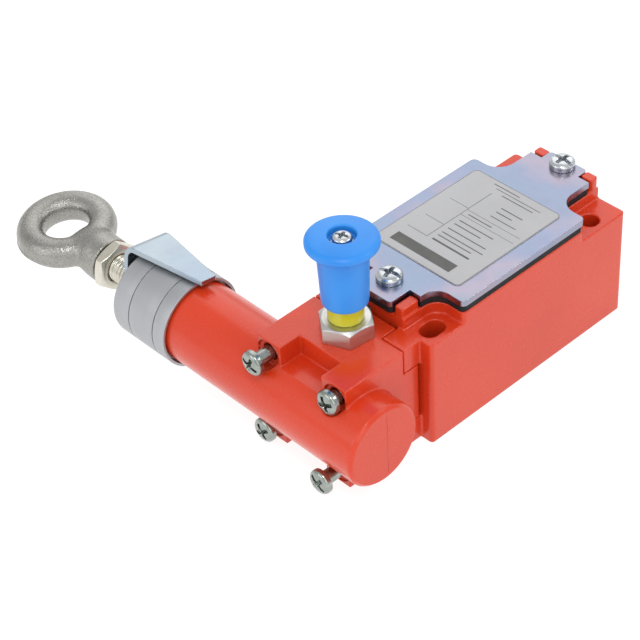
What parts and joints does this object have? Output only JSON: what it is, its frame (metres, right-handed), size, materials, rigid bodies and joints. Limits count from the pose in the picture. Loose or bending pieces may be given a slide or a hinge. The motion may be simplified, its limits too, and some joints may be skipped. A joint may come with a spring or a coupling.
{
  "type": "rope pull switch",
  "caption": "Red die-cast rope pull switch with right-angle pull tube, tension indicator, steel rope eye, sprung pull rod and blue pull-to-reset knob.",
  "frame": {"origin": "centre of the four fixing holes, on the mounting face", "axes": "+Z away from the mounting face, -X along the pull rod towards the rope eye, +Y along the housing away from the head"},
  "size_m": [0.1404, 0.1103, 0.0645],
  "materials": {
    "red_paint": "satin red powder coat on zinc die casting",
    "black_rubber": "matt moulded rubber",
    "zinc_sheet": "zinc plated sheet steel, bluish and faintly iridescent",
    "label_foil": "satin foil label, no print",
    "zinc_screw": "bright zinc plated steel",
    "sleeve_grey": "fine turned aluminium with engraved lines",
    "bronze": "sintered bronze",
    "bright_steel": "turned steel",
    "white_plastic": "moulded acetal",
    "spring_steel": "drawn spring wire",
    "cast_eye": "cast and tumbled stainless steel",
    "nut_steel": "yellowish passivated steel",
    "satin_nickel": "satin nickel plated brass",
    "yellow_plastic": "yellow moulded plastic",
    "blue_plastic": "blue moulded plastic",
    "black_plastic": "moulded thermoset",
    "red_plastic": "moulded plastic",
    "copper": "silver faced copper",
    "brass_strip": "stamped brass"
  },
  "bodies": {
    "switch_body": {"housing": "red_paint", "cover_gasket": "black_rubber", "cover_plate": "zinc_sheet", "rating_label": "label_foil", "cover_screws": "zinc_screw", "head_gasket": "black_rubber", "head_housing": "red_paint", "head_screws": "zinc_screw", "indicator_sleeve": "sleeve_grey", "rod_wiper": "black_rubber", "rod_bush": "bronze", "pull_spring": "spring_steel", "reset_bush": "satin_nickel", "yellow_collar": "yellow_plastic", "reset_spring": "spring_steel", "plunger_seal": "black_rubber", "plunger_guide": "bronze", "contact_block": "black_plastic", "carrier_spring": "spring_steel", "fixed_contacts": "brass_strip", "terminal_clamps": "zinc_screw", "terminal_screws": "zinc_screw", "block_screws": "zinc_screw", "earth_screw": "brass_strip"},
    "pull_unit": {"pull_rod": "bright_steel", "spring_seat": "white_plastic", "rod_circlips": "spring_steel", "trip_cam": "bright_steel", "eye_bolt": "cast_eye", "lock_nut": "nut_steel", "tension_pointer": "zinc_sheet"},
    "reset_unit": {"reset_spindle": "bright_steel", "reset_knob": "blue_plastic", "knob_screw": "zinc_screw"},
    "trip_slide": {"plunger": "bright_steel", "contact_carrier": "red_plastic", "bridge_contacts": "copper", "bridge_springs": "spring_steel"}
  },
  "joints": [
    {"name": "rope_pull", "type": "slide", "parent": "switch_body", "child": "pull_unit", "axis": [-1, 0, 0], "range_m": [0, 0.017], "stiffness_N_per_m": 4000, "springref_m": -0.004, "deforming": ["pull_spring"]},
    {"name": "plunger_push", "type": "slide", "parent": "switch_body", "child": "trip_slide", "axis": [0, 1, 0], "range_m": [0, 0.0021], "deforming": ["carrier_spring"]},
    {"name": "reset_pull", "type": "slide", "parent": "switch_body", "child": "reset_unit", "axis": [0, 0, 1], "range_m": [0, 0.0045], "stiffness_N_per_m": 500, "springref_m": -0.004, "deforming": ["reset_spring"]}
  ],
  "couplings": [
    {"joint": "plunger_push", "follows": "rope_pull", "ratio": 0.12}
  ]
}
